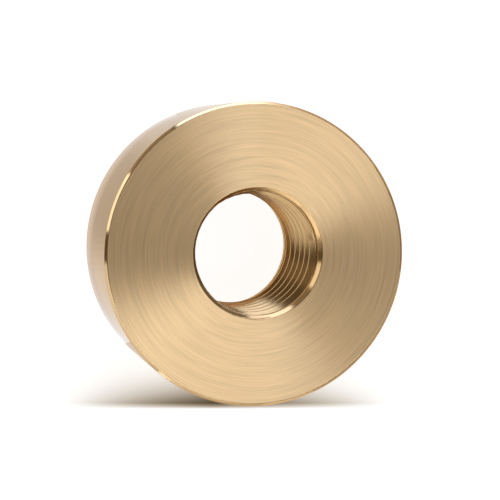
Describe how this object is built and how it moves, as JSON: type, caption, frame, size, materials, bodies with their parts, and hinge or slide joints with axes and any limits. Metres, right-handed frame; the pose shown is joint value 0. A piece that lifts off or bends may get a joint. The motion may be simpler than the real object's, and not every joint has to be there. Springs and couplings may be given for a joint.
{
  "type": "round threaded bushing",
  "caption": "Thick round brass bushing with a threaded through hole, countersunk at both ends, and narrow chamfers on its rims.",
  "frame": {"origin": "middle of the lower end face, on the axis of the hole", "axes": "+Z along the axis of the hole, from the lower end face to the upper one"},
  "size_m": [0.023, 0.023, 0.0112],
  "materials": {
    "brass": "satin turned ends, polished rim and chamfers"
  },
  "bodies": {
    "root": {"round_bushing": "brass"}
  },
  "joints": []
}
